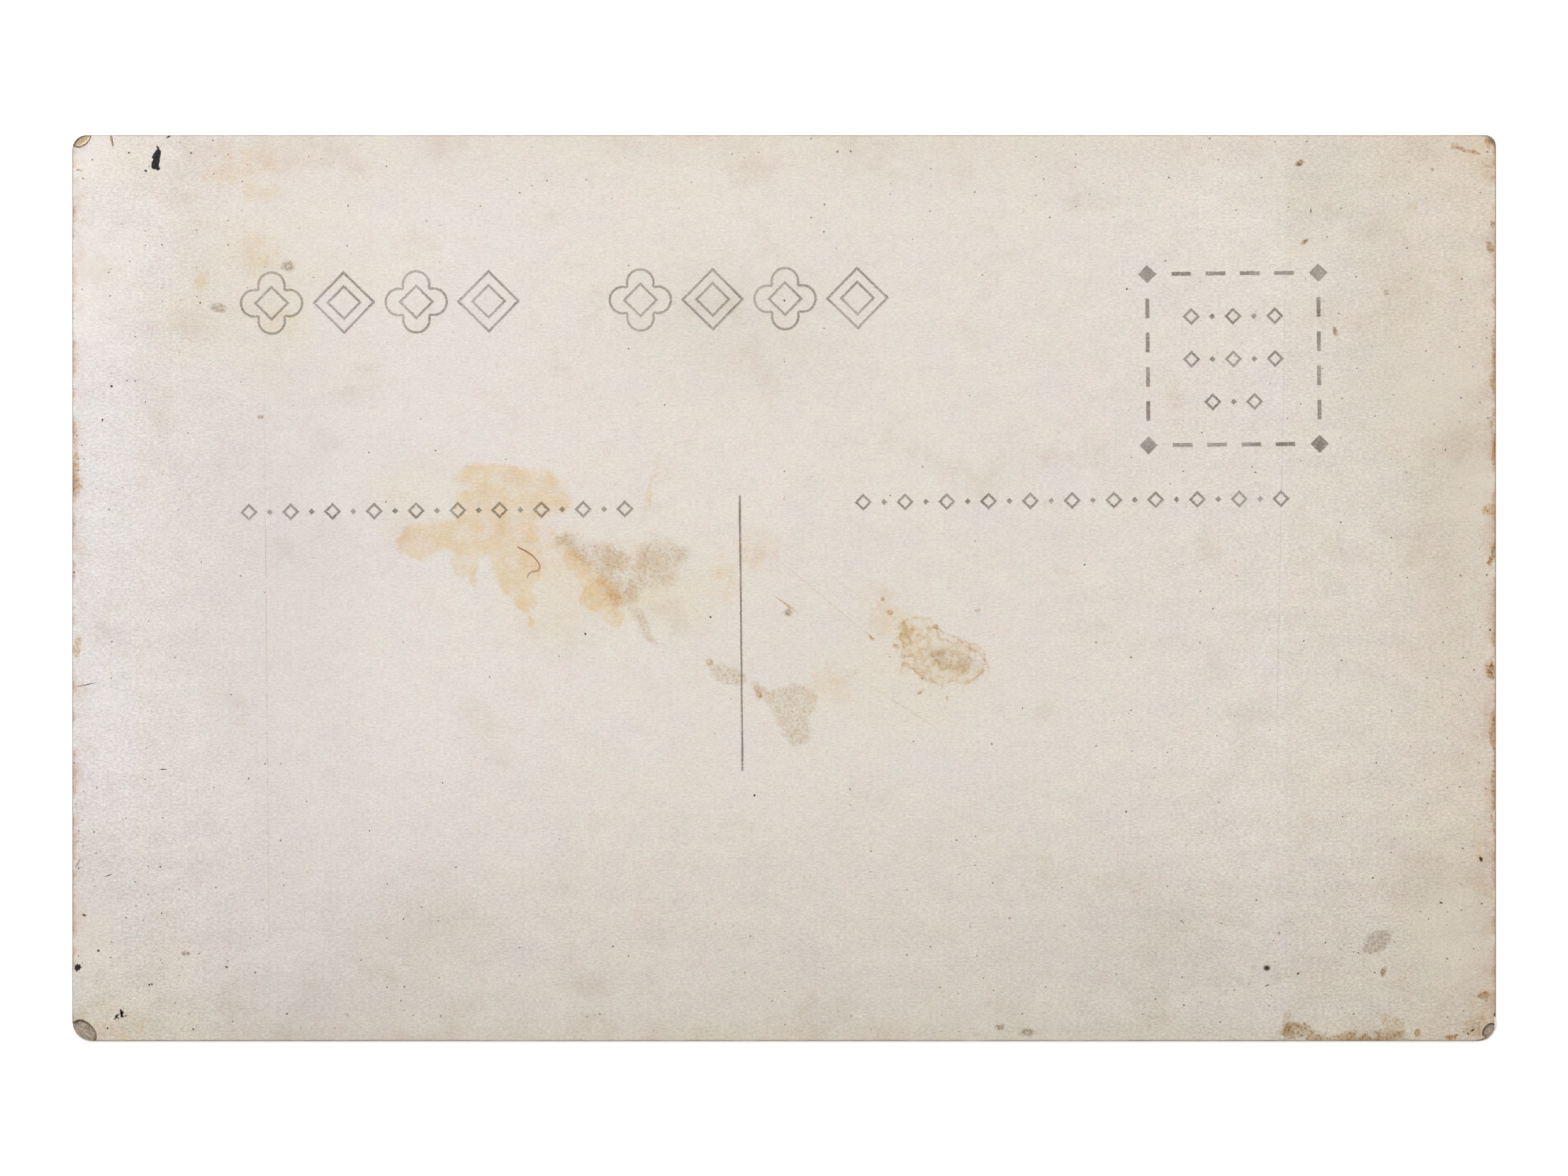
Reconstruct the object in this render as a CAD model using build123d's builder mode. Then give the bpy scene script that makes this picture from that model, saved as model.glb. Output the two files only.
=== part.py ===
"""Photographic postcard, lying on its picture side: pasteboard plies, coats and letterpress printing.

Millimetres, +Z up. The origin is at the middle of the picture side, +X runs to the right along the
length of the back and +Y to its top edge.
"""

import os

from build123d import *

# Card blank
card_length = 139.7
card_height = 88.9
emulsion_thickness = 0.012
baryta_thickness = 0.023
front_ply_thickness = 0.075
core_ply_thickness = 0.12
back_ply_thickness = 0.07

# Corners worn round by handling; the picture side keeps more of its lower right corner
top_left_radius = 1.4
top_right_radius = 1.0
bottom_left_radius = 1.9
bottom_right_radius = 2.1
front_bottom_right_radius = 1.6

# Patches where the back ply is worn through to the core: inset from the two edges, half length, half width
top_left_patch_inset = (0.85, 0.5)
top_left_patch_half = (0.85, 0.45)
bottom_left_patch_inset = (1.1, 1.0)
bottom_left_patch_half = (1.33, 0.9)
bottom_right_patch_inset = (0.7, 1.1)
bottom_right_patch_half = (0.7, 0.42)

# Tear in the top edge of the back ply
tear_from_left = 3.9
tear_width = 0.35
tear_depth = 1.1
tear_lean = 0.15

# Printing forme, set out from the middle of the card and pressed into the back ply a little askew
print_skew = 0.5
ink_depth = 0.015

heading_left = -53.2
heading_y = 28.4
heading_height = 6.3
heading_pitch = 7.1
heading_group_step = 36.2
heading_line = 0.3
lobe_radius = 1.45
inner_lozenge_height = 3.6
heading_motifs = 4
heading_groups = 2

divider_x = -4.25
divider_y = -4.4
divider_length = 27.1
divider_line = 0.26

label_height = 1.8
label_pitch = 2.05
label_line = 0.3
point_height = 0.7
message_gap = 10.4
message_y = 7.9
message_places = 19
address_gap = 11.2
address_y = 8.35
address_places = 21

stamp_x = 44.3
stamp_y = 22.1
stamp_side = 16.8
stamp_dashes = 4
dash_length = 2.0
dash_line = 0.45
stamp_corner_height = 1.9
stamp_row_pitch = 4.2
stamp_row_places = (5, 5, 3)

# Heights of the layers, from the picture side up
baryta_bottom = emulsion_thickness
front_ply_bottom = baryta_bottom + baryta_thickness
core_ply_bottom = front_ply_bottom + front_ply_thickness
back_ply_bottom = core_ply_bottom + core_ply_thickness
card_thickness = back_ply_bottom + back_ply_thickness

half_length = card_length / 2
half_height = card_height / 2
print_plane = Plane.XY.offset(card_thickness).rotated((0, 0, print_skew))


def card_outline(bottom, lower_right_radius):
    """The outline of a layer that starts at a height: a rectangle with its corners worn round."""
    with BuildSketch(Plane.XY.offset(bottom)) as outline:
        with BuildLine():
            FilletPolyline(
                (-half_length, -half_height),
                (half_length, -half_height),
                (half_length, half_height),
                (-half_length, half_height),
                radius=[bottom_left_radius, lower_right_radius, top_right_radius, top_left_radius],
                close=True,
            )
        make_face()
    return outline.sketch


def worn_patch(side_x, side_y, inset, half):
    """An oval at a corner of the back ply, with its length across the corner."""
    across_corner = -45 * side_x * side_y
    with BuildSketch(Plane.XY.offset(card_thickness)) as patch:
        with Locations((side_x * (half_length - inset[0]), side_y * (half_height - inset[1]))):
            Ellipse(half[0], half[1], rotation=across_corner)
    return patch.sketch


def rim(shape, line):
    """The printed line that runs just inside the edge of a shape."""
    with BuildSketch() as outline:
        add(shape)
        offset(shape, amount=-line, mode=Mode.SUBTRACT)
    return outline.sketch


def lozenge(height):
    """A square standing on its corner."""
    with BuildSketch() as shape:
        RegularPolygon(height / 2, 4)
    return shape.sketch


def quatrefoil(height):
    """Four round lobes about a filled middle."""
    lobe_distance = height / 2 - lobe_radius
    with BuildSketch() as shape:
        with PolarLocations(lobe_distance, 4):
            Circle(lobe_radius)
        RegularPolygon(lobe_distance, 4)
    return shape.sketch


def heading_motif(shape):
    """One large ornament: a shape in outline with an outlined lozenge in its middle."""
    with BuildSketch() as motif:
        add(rim(shape, heading_line))
        add(rim(lozenge(inner_lozenge_height), heading_line))
    return motif.sketch


def row_width(places):
    """The length of a row of small ornaments."""
    return (places - 1) * label_pitch + label_height


def ornament_row(places):
    """Small open lozenges with a solid point between each two, about the middle of the row."""
    with BuildSketch() as row:
        with GridLocations(2 * label_pitch, 0, (places + 1) // 2, 1):
            add(rim(lozenge(label_height), label_line))
        with GridLocations(2 * label_pitch, 0, places // 2, 1):
            RegularPolygon(point_height / 2, 4)
    return row.sketch


# Printed figures

with BuildSketch(print_plane) as heading_print:
    for group in range(heading_groups):
        for place in range(heading_motifs):
            motif_x = heading_left + heading_height / 2 + group * heading_group_step + place * heading_pitch
            shape = quatrefoil(heading_height) if place % 2 == 0 else lozenge(heading_height)
            with Locations((motif_x, heading_y)):
                add(heading_motif(shape))

with BuildSketch(print_plane) as divider_print:
    with Locations((divider_x, divider_y)):
        Rectangle(divider_line, divider_length)

with BuildSketch(print_plane) as message_print:
    with Locations((divider_x - message_gap - row_width(message_places) / 2, message_y)):
        add(ornament_row(message_places))

with BuildSketch(print_plane) as address_print:
    with Locations((divider_x + address_gap + row_width(address_places) / 2, address_y)):
        add(ornament_row(address_places))

dash_pitch = stamp_side / (stamp_dashes + 1)
with BuildSketch(print_plane) as stamp_frame_print:
    with Locations((stamp_x, stamp_y)):
        with GridLocations(dash_pitch, stamp_side, stamp_dashes, 2):
            Rectangle(dash_length, dash_line)
        with GridLocations(stamp_side, dash_pitch, 2, stamp_dashes):
            Rectangle(dash_line, dash_length)
        with GridLocations(stamp_side, stamp_side, 2, 2):
            RegularPolygon(stamp_corner_height / 2, 4)

first_row_y = stamp_y + (len(stamp_row_places) - 1) / 2 * stamp_row_pitch
with BuildSketch(print_plane) as stamp_rows_print:
    for row, places in enumerate(stamp_row_places):
        with Locations((stamp_x, first_row_y - row * stamp_row_pitch)):
            add(ornament_row(places))

# Layers, from the picture side up

with BuildPart() as emulsion:
    extrude(card_outline(0, front_bottom_right_radius), amount=emulsion_thickness)
emulsion.part.label = "emulsion"

with BuildPart() as baryta_coat:
    extrude(card_outline(baryta_bottom, front_bottom_right_radius), amount=baryta_thickness)
baryta_coat.part.label = "baryta_coat"

with BuildPart() as front_ply:
    extrude(card_outline(front_ply_bottom, front_bottom_right_radius), amount=front_ply_thickness)
front_ply.part.label = "front_ply"

with BuildPart() as core_ply:
    extrude(card_outline(core_ply_bottom, bottom_right_radius), amount=core_ply_thickness)
core_ply.part.label = "core_ply"

# The back ply: worn through at three corners, torn at the top edge, and dented by the type
with BuildPart() as back_ply:
    extrude(card_outline(back_ply_bottom, bottom_right_radius), amount=back_ply_thickness)
    for patch in (
        worn_patch(-1, 1, top_left_patch_inset, top_left_patch_half),
        worn_patch(-1, -1, bottom_left_patch_inset, bottom_left_patch_half),
        worn_patch(1, -1, bottom_right_patch_inset, bottom_right_patch_half),
    ):
        extrude(patch, amount=-back_ply_thickness, mode=Mode.SUBTRACT)
    tear_x = tear_from_left - half_length
    with BuildSketch(Plane.XY.offset(card_thickness)):
        Polygon(
            (tear_x - tear_width / 2, half_height),
            (tear_x + tear_lean, half_height - tear_depth),
            (tear_x + tear_width / 2, half_height),
            align=None,
        )
    extrude(amount=-back_ply_thickness, mode=Mode.SUBTRACT)
    for printed in (
        heading_print,
        divider_print,
        message_print,
        address_print,
        stamp_frame_print,
        stamp_rows_print,
    ):
        extrude(printed.sketch, amount=-ink_depth, mode=Mode.SUBTRACT)
back_ply.part.label = "back_ply"

# Ink, filling the dents of the type flush with the paper

with BuildPart() as heading_ink:
    extrude(heading_print.sketch, amount=-ink_depth)
heading_ink.part.label = "heading_ink"

with BuildPart() as divider_ink:
    extrude(divider_print.sketch, amount=-ink_depth)
divider_ink.part.label = "divider_ink"

with BuildPart() as message_label_ink:
    extrude(message_print.sketch, amount=-ink_depth)
message_label_ink.part.label = "message_label_ink"

with BuildPart() as address_label_ink:
    extrude(address_print.sketch, amount=-ink_depth)
address_label_ink.part.label = "address_label_ink"

with BuildPart() as stamp_frame_ink:
    extrude(stamp_frame_print.sketch, amount=-ink_depth)
stamp_frame_ink.part.label = "stamp_frame_ink"

with BuildPart() as stamp_rows_ink:
    extrude(stamp_rows_print.sketch, amount=-ink_depth)
stamp_rows_ink.part.label = "stamp_rows_ink"

os.makedirs("parts", exist_ok=True)
for piece in (
    emulsion,
    baryta_coat,
    front_ply,
    core_ply,
    back_ply,
    heading_ink,
    divider_ink,
    message_label_ink,
    address_label_ink,
    stamp_frame_ink,
    stamp_rows_ink,
):
    export_step(piece.part, f"parts/{piece.part.label}.step")
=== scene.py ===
"""Old photographic postcard lying on its picture side: stained paper, faded printing, worn corners."""

import math

import bmesh
import bpy
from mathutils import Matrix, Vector


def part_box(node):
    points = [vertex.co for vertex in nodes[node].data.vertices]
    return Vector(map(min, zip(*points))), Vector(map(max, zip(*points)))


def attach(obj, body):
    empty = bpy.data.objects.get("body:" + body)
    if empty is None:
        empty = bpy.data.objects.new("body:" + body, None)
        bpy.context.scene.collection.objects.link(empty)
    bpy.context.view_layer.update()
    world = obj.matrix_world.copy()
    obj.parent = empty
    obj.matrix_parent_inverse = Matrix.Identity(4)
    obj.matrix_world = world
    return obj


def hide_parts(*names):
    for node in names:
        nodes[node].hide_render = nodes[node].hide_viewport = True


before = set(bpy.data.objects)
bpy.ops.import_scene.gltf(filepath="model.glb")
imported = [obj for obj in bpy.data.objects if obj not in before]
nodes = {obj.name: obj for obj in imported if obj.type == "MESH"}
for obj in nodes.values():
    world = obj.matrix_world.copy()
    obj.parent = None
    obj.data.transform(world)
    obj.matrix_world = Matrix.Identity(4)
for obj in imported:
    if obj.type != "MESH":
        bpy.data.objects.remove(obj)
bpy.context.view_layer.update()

MM = 0.001
WELD = 0.0005 * MM
_, core_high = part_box("core_ply")
half_length = core_high.x / MM
half_height = core_high.y / MM
sheet_low, sheet_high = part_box("back_ply")
sheet_top = sheet_high.z
sheet_thickness = sheet_high.z - sheet_low.z

# Framing of the photograph: its width on the card's plane, and a long lens straight above
PHOTO_WIDTH = 153.9 * MM
CAMERA_HEIGHT = 1.2
SENSOR = 36.0

# Studio, in metres and watts: a soft window beyond the upper left, an even fill and a white floor
KEY_PLACE = Vector((-0.26, 0.46, 0.62))
KEY_SIZE = (0.5, 0.4)
KEY_POWER = 5.5
FILL_STRENGTH = 0.46
FLOOR_SIZE = 6.0
FLOOR_DROP = 0.02 * MM
FLOOR_LIFT = 0.42

# Back sheet, in mm: mesh cell, height of what cuts it, corner zones with finer cells, and what wear did
SHEET_CELL = 0.8
SLAB_HEIGHT = 2.0
CUTTER_HEIGHT = 3.0
SHEET_SPARE = 1.005
CORNER_ZONE = 3.6
CORNER_CUTS = 4
# Side in x, side in y, radius
CORNERS = ((-1, 1, 1.4), (1, 1, 1.0), (-1, -1, 1.9), (1, -1, 2.1))
CORNER_SEGMENTS = 14
LONG_EDGE = 10
EDGE_CUTS = 240
EDGE_WEAR = 0.08
EDGE_WEAR_SIZES = {"edge wear": 2.5, "edge nicks": 0.6}
RELIEF = 0.02
RELIEF_SIZE = 9.0
LIP_LIFT = 0.09
LIP_REACH = 0.22
# Ragged rims of the rubbed places: direction, size of the unevenness, depth
RIM_SIDES = 64
RIM_WEAR = (("X", 0.5, 0.16), ("Y", 0.35, 0.14))
# Where the paper is rubbed through at a corner: x, y, half length, half width, turn in degrees
PATCHES = (
    (-68.92, 43.98, 0.9, 0.55, 37), (-68.55, -43.42, 1.22, 0.66, -45), (-69.3, -43.6, 1.3, 0.64, -45),
    (69.15, -43.35, 0.72, 0.42, 48),
)
# Tear in the top edge, as an outline in mm
TEAR = (
    (-66.16, 44.7), (-66.14, 44.1), (-66.05, 43.7), (-65.91, 43.3), (-65.9, 43.6), (-65.97, 44.0),
    (-66.02, 44.7),
)

# Ink film, in mm: how far it stands on the paper, how far its rim fades, and how its long lines are divided
INK_LIFT = 0.008
INK_RIM = 0.07
INK_LONG_LINE = 4
INK_CUTS = 23

# Scraps of black album page left on the card, as torn outlines in mm, and a hair stuck to the large stain
SCRAP_THICKNESS = 0.09
SCRAP_FRAY = 0.05
PAGE_SCRAPS = {
    "page_scrap": (
        (-61.63, 43.40), (-61.41, 43.33), (-61.29, 43.05), (-61.16, 42.89), (-61.18, 42.52),
        (-61.27, 42.16), (-61.27, 41.88), (-61.38, 41.59), (-61.33, 41.31), (-61.21, 41.17),
        (-61.48, 40.96), (-61.66, 41.13), (-61.91, 41.10), (-62.09, 41.28), (-62.07, 41.74),
        (-61.89, 42.09), (-62.05, 42.27), (-61.87, 42.62), (-61.66, 42.91), (-61.50, 43.09),
    ),
    "page_fleck": ((-62.83, 40.96), (-62.69, 41.06), (-62.53, 40.99), (-62.51, 40.85), (-62.65, 40.88)),
    "page_flake_a": (
        (-65.08, -41.29), (-65.01, -41.46), (-64.84, -41.55), (-64.82, -41.76), (-64.99, -41.88),
        (-64.84, -41.99), (-64.80, -42.12), (-64.96, -42.10), (-65.07, -42.17), (-65.13, -42.00),
        (-65.07, -41.88), (-65.21, -41.76), (-65.12, -41.62), (-65.20, -41.44),
    ),
    "page_flake_b": (
        (-65.77, -42.36), (-65.64, -42.16), (-65.67, -42.01), (-65.55, -41.88), (-65.36, -41.84),
        (-65.24, -41.87), (-65.44, -41.99), (-65.39, -42.13), (-65.24, -42.30), (-65.46, -42.14),
        (-65.58, -42.24),
    ),
    "page_flake_c": ((-64.72, -42.05), (-64.62, -41.92), (-64.53, -41.93), (-64.60, -42.01)),
    "page_crumb": (
        (-69.60, -37.05), (-69.45, -37.00), (-69.38, -36.85), (-69.25, -36.98), (-69.05, -36.92),
        (-69.12, -37.08), (-68.92, -37.20), (-69.10, -37.28), (-69.15, -37.50), (-69.30, -37.45),
        (-69.42, -37.70), (-69.50, -37.50), (-69.62, -37.42),
    ),
}
HAIR_THICKNESS = 0.085
HAIR_ARCH = 0.08
HAIR_POINTS = (
    (-26.16, 4.04), (-25.01, 3.51), (-24.23, 2.73), (-23.94, 2.18), (-24.08, 1.78), (-24.45, 1.69),
    (-24.90, 1.60), (-25.16, 1.25), (-25.23, 0.96),
)

# Curls of split paper at the edge: thickness and crumple size in mm, arch and crumple as shares of the width
CURL_THICKNESS = 0.05
CURL_ARCH = 0.6
CURL_CRUMPLE = 0.35
CURL_SIDES = 24
CURL_CUTS = 23
# Finish, x, y, height of the foot on the sheet, length, width and sideways bow in mm, turn in degrees
CURLS = {
    "corner_curl": ("tan", -68.62, 43.82, -0.02, 1.35, 0.24, 0.1, 43),
    "corner_flake": ("grimy", -69.12, 43.42, -0.02, 0.66, 0.22, 0.04, -8),
    "corner_fold": ("grimy", -68.53, -43.62, -0.07, 1.55, 0.14, 0.04, -43),
    "front_lip": ("white", 69.78, -42.7, 0.0, 1.3, 0.18, 0.0, 91),
    "edge_curl_a": ("paper", -69.42, -24.78, 0.0, 0.5, 0.26, 0.0, 75),
    "edge_curl_b": ("paper", -69.36, -26.85, 0.0, 1.1, 0.34, 0.0, 66),
}

# Stains, marks, painted light and shadow, in mm from the card's middle: x, y, half length, half width, turn
# in degrees
CLOUDS = (
    (53, 38.5, 4.5, 4), (58.5, 27, 4, 11), (64.5, 8, 3.5, 14), (-45, -41.5, 14, 4.2), (37, -34.5, 5, 4),
    (-67, -27, 3.5, 6), (-35, -33, 7, 4), (63, -29, 4, 3), (-53, 2, 10, 30), (-57.5, 30, 3, 9),
    (-5, 26, 9, 6),
)
WARM_PLACES = (
    (-52, 31, 13, 10), (-65, -41, 8, 7), (-65.5, 41, 4.5, 4), (-23, -1, 5, 4), (-11, 0, 4, 4),
    (12, -9.5, 6, 4), (-36, 10, 5, 4),
)
# Painted light: paler places along the left edge, where a bend in the card would catch the light
PAINTED_LIGHT_AT_LEFT = ((-68.5, 30, 4, 6), (-68.5, 42.5, 3, 2.5))
LESS_SOILED = ((64, 20, 4, 4), (68.5, 10, 3, 4), (66.5, -34, 4, 4), (-68.5, -34, 2.5, 4))
YELLOW_STAIN = (
    (-26.6, 10.3, 5.3, 1.9, -8), (-29.7, 10.9, 2.2, 1.4), (-23.0, 8.9, 2.0, 1.4, -25),
    (-27.6, 8.0, 5.0, 1.8), (-29.7, 5.3, 5.8, 2.2), (-35.7, 4.5, 2.3, 1.8), (-37.2, 4.3, 0.9, 1.0),
    (-31.4, 2.5, 1.4, 1.5), (-30.4, 0.7, 0.4, 1.0), (-26.1, 2.7, 2.6, 2.8), (-26.8, 0.7, 1.2, 1.5),
    (-25.2, -1.1, 1.2, 1.4), (-24.9, -3.1, 0.3, 0.5), (-18.9, 0.8, 4.0, 1.2, -42),
    (-18.6, -1.2, 1.4, 1.3), (-16.7, -2.8, 1.1, 0.9),
)
FAINT_YELLOW = (
    (-22.6, 3.6, 2.9, 2.9), (-16.5, 1.0, 4.5, 3.5), (-52.9, 41.5, 2.8, 1.4), (-55.3, 40.2, 1.7, 1.1),
    (-51.6, 38.7, 1.7, 1.0), (-55.1, 43.1, 0.3, 0.5), (-57.3, 29.9, 0.7, 0.8), (-51.5, 32.7, 1.9, 1.6),
    (-49.4, 26.1, 1.8, 1.0), (66.0, 30.6, 0.6, 1.2), (-2.7, 3.8, 1.7, 2.0), (-5.8, 0.9, 1.8, 2.0),
    (4.4, -9.3, 2.2, 1.6), (10.6, -2.8, 3.6, 1.6, -45), (68.2, -26.8, 0.6, 3.2), (68.5, -42.0, 1.5, 2.2),
    (68.3, -43.6, 1.3, 0.8), (-65.5, -43.0, 3.2, 1.8), (61.6, 37.5, 0.3, 0.4),
    (-13.0, 9.7, 3.2, 0.2, 77), (68.6, 42.2, 1.7, 1.8),
)
GREY_SMEAR = (
    (-21.5, 4.5, 0.8, 0.7), (-19.5, 3.6, 2.2, 1.1, -28), (-16.9, 2.3, 2.0, 1.7), (-16.0, -0.2, 1.8, 1.7),
    (-12.7, 2.5, 2.1, 2.2), (-10.9, 3.2, 1.5, 1.2), (-14.4, 0.9, 1.4, 1.2),
    (-13.9, -3.7, 2.1, 0.55, -56), (16.2, -7.1, 2.2, 1.0, -12), (17.9, -7.5, 1.0, 0.8),
)
TAN_PATCH = (
    (0.8, -11.3, 2.2, 1.8), (1.1, -13.4, 1.5, 2.1, 20), (-2.0, -10.4, 1.8, 0.8, -40),
    (-5.6, -8.4, 1.8, 1.0, -25), (65.8, 43.4, 0.4, 0.2), (67.4, 42.9, 0.7, 0.3, -15),
    (49.6, -42.5, 0.5, 1.1), (59.6, -42.7, 1.0, 0.6), (68.1, -43.1, 1.3, 1.0),
)
BOTTOM_DIRT = (
    (50.2, -43.6, 1.4, 0.8), (51.6, -43.9, 1.7, 0.6, -12), (53.6, -44.1, 1.4, 0.4),
    (55.3, -44.0, 1.2, 0.42), (57.3, -44.1, 1.0, 0.35), (59.2, -43.8, 1.6, 0.55),
    (62.3, -43.8, 0.4, 0.36), (65.7, -43.95, 0.55, 0.28), (55.0, -44.4, 6.5, 0.16),
    (66.9, 42.9, 1.3, 0.2, -10), (69.4, 33.6, 0.4, 0.55), (69.55, 35.7, 0.25, 0.35),
    (68.9, -39.9, 0.4, 0.25), (69.6, 3.2, 0.3, 1.1), (69.5, -8.3, 0.3, 0.8), (-69.3, 41.0, 0.35, 0.14),
)
EDGE_RUST = (
    (-69.6, 11.4, 0.4, 2.7), (-69.5, -5.9, 0.4, 1.1), (65.6, -44.0, 0.5, 0.3), (69.5, 7.8, 0.5, 0.7),
    (69.6, 3.2, 0.4, 1.3), (69.6, -4.9, 0.3, 0.8), (69.5, -8.3, 0.4, 1.0), (69.6, -12.4, 0.3, 0.7),
    (69.3, 43.8, 0.7, 0.35, -45), (69.0, 41.55, 0.6, 0.14, -15), (69.7, 20, 0.25, 9),
    (69.7, -18, 0.25, 8),
)
RUST_STAIN = (
    (15.5, -7.1, 4.2, 2.3, -8), (13.2, -4.7, 2.2, 1.6, -25), (17.8, -7.2, 2.1, 2.0),
    (6.4, -8.1, 0.6, 0.45),
)
SCUFF = ((58.5, -34.4, 1.05, 0.85, 20), (57.7, -35.3, 0.9, 0.6, 15), (58.1, -34.8, 1.1, 0.9))
RUST_SPOTS = (
    (10.4, -2.4, 0.3, 0.28), (8.6, -4.9, 0.32, 0.18, -40), (11.0, -5.7, 0.38, 0.2, -20),
    (14.9, -3.8, 0.3, 0.22), (19.0, -2.2, 0.32, 0.12, 20), (9.7, -1.1, 0.2, 0.2),
    (-2.5, -10.4, 0.3, 0.55), (-7.3, -7.3, 0.35, 0.4), (0.2, -1.6, 1.4, 0.1, -35),
    (16.0, -10.8, 0.12, 0.3), (13.4, -10.2, 0.5, 0.15, 35), (-51.2, -30.6, 0.14, 0.1),
    (-63.0, -43.1, 0.06, 0.22), (58.8, -37.7, 0.24, 0.38, -20), (51.0, 34.0, 0.3, 0.16, 40),
    (54.1, 25.2, 0.16, 0.4, 20), (50.6, 41.7, 0.4, 0.25, 30),
)
RUST_STROKES = (
    (11.78, -3.75, 0.18, 0.5), (11.4, -4.62, 0.55, 0.12, 43), (12.23, -4.93, 0.8, 0.15, -58),
    (12.86, -4.07, 0.42, 0.1), (13.1, -4.6, 0.25, 0.12, 20), (13.7, -4.9, 0.45, 0.17, 30),
    (15.4, -4.2, 0.5, 0.12, -45), (16.6, -4.75, 0.6, 0.14, -15), (17.2, -5.1, 0.35, 0.15, -40),
    (18.5, -6.05, 0.65, 0.1, -28), (19.5, -6.8, 0.65, 0.1, -50), (20.0, -7.7, 0.6, 0.09, -75),
    (12.0, -6.7, 0.6, 0.16, 10), (11.6, -7.7, 0.6, 0.1, 70), (8.2, -4.5, 0.45, 0.08, -45),
)
SMUDGES = (
    (-55.5, 27.5, 0.75, 0.4, -10), (-48.7, 31.6, 0.6, 0.5), (50.6, 41.7, 0.45, 0.3, 30),
    (51.1, 34.0, 0.45, 0.2, 40), (54.1, 25.2, 0.2, 0.45, 20), (59.1, 29.0, 0.25, 0.22),
    (63.6, 41.1, 0.2, 0.2), (69.3, 43.95, 0.5, 0.22, -40), (48.6, -33.9, 0.1, 0.2),
    (0.45, -2.4, 0.4, 0.36), (58.8, -37.7, 0.26, 0.42, -20), (-51.4, 16.8, 0.28, 0.2),
    (-58.7, -35.9, 0.38, 0.27), (21.2, -43.1, 0.45, 0.3), (23.9, -43.6, 0.7, 0.35),
)
DARK_SPOTS_AND_TEAR_SHADOW = (
    (47.4, -37.3, 0.32, 0.26), (68.4, -26.6, 0.15, 0.26, 20), (-67.3, -35.6, 0.12, 0.12),
    (-60.4, 44.3, 0.25, 0.1, 30), (-64.3, 42.7, 0.11, 0.08), (-62.3, -38.95, 0.09, 0.11),
    (-62.05, -38.9, 0.09, 0.09), (-66.4, -43.2, 0.09, 0.11), (67.6, -43.4, 0.2, 0.08, 40),
    (67.15, -43.75, 0.16, 0.06, -40), (69.8, -41.9, 0.14, 0.2), (51.7, 37.0, 0.06, 0.2),
    (-57.3, 28.0, 0.09, 0.09), (-60.9, -17.8, 0.33, 0.05), (64.5, -30.9, 0.16, 0.07, -20),
    # The first mark on the next line is painted shadow: a thin dark line along the right side of the tear
    (-65.92, 43.85, 0.05, 0.58, 7), (-58.2, 42.7, 0.1, 0.09), (-34.2, 13.5, 0.08, 0.08),
    (-19.5, -4.5, 0.14, 0.1, -60), (-66.0, 19.8, 0.13, 0.12), (-66.9, 16.5, 0.1, 0.13),
    (-68.9, 14.0, 0.1, 0.05, -30), (57.8, -28.45, 0.08, 0.08), (-7.2, -2.85, 0.1, 0.1),
    (-2.9, -20.35, 0.1, 0.1), (69.3, -4.1, 0.1, 0.09), (-68.7, -32.1, 0.2, 0.1, -20),
    (-66.3, -28.2, 0.35, 0.05, 20), (-68.5, -9.5, 0.9, 0.04, 12), (47.4, -39.0, 0.2, 0.06, 20),
    (53.15, -34.8, 0.08, 0.07), (-54.7, -37.2, 0.16, 0.08), (-61.1, -31.9, 0.07, 0.07),
    (-48.8, -41.8, 0.1, 0.07), (-58.0, -43.3, 0.1, 0.08),
)
CREASES = (
    (-50.75, -11.2, 27.9, 0.06, 90.5), (48.8, 8.0, 25.4, 0.06, 88.9), (4.1, -1.1, 5.8, 0.05, -40),
    (11.6, -11.6, 4.6, 0.05, -33),
)


# Small helpers


def linear(code):
    """A colour written as sRGB hex, as linear RGBA."""
    channels = [int(code[i : i + 2], 16) / 255 for i in (1, 3, 5)]
    rgb = [c / 12.92 if c <= 0.04045 else ((c + 0.055) / 1.055) ** 2.4 for c in channels]
    return (*rgb, 1.0)


def add(tree, kind, inputs=None, **settings):
    """Adds a shader node with its settings. An input is a value, or an output to link to it."""
    node = tree.nodes.new("ShaderNode" + kind)
    for name, value in settings.items():
        setattr(node, name, value)
    for name, value in (inputs or {}).items():
        if isinstance(value, bpy.types.NodeSocket):
            tree.links.new(value, node.inputs[name])
        else:
            node.inputs[name].default_value = value
    return node


def calc(tree, operation, *values):
    """One step of arithmetic with numbers."""
    return add(tree, "Math", dict(enumerate(values)), operation=operation).outputs[0]


def select_only(piece):
    """Leaves one object selected and active."""
    bpy.ops.object.select_all(action="DESELECT")
    piece.select_set(True)
    bpy.context.view_layer.objects.active = piece


def edit(piece, kind, wanted):
    """Opens a piece in edit mode with only those vertices, edges or faces selected that are wanted."""
    select_only(piece)
    bpy.ops.object.mode_set(mode="EDIT")
    bpy.ops.mesh.select_mode(type=kind)
    bpy.ops.mesh.select_all(action="DESELECT")
    bpy.ops.object.mode_set(mode="OBJECT")
    mesh = piece.data
    for element in {"VERT": mesh.vertices, "EDGE": mesh.edges, "FACE": mesh.polygons}[kind]:
        element.select = wanted(element)
    bpy.ops.object.mode_set(mode="EDIT")


def leave_edit():
    """Goes back to object mode."""
    bpy.ops.object.mode_set(mode="OBJECT")


def longer_than(piece, length):
    """Picks the edges of a piece that are longer than a length in mm."""

    def is_long(edge):
        start, end = (piece.data.vertices[index].co for index in edge.vertices)
        return (start - end).length > length * MM

    return is_long


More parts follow.
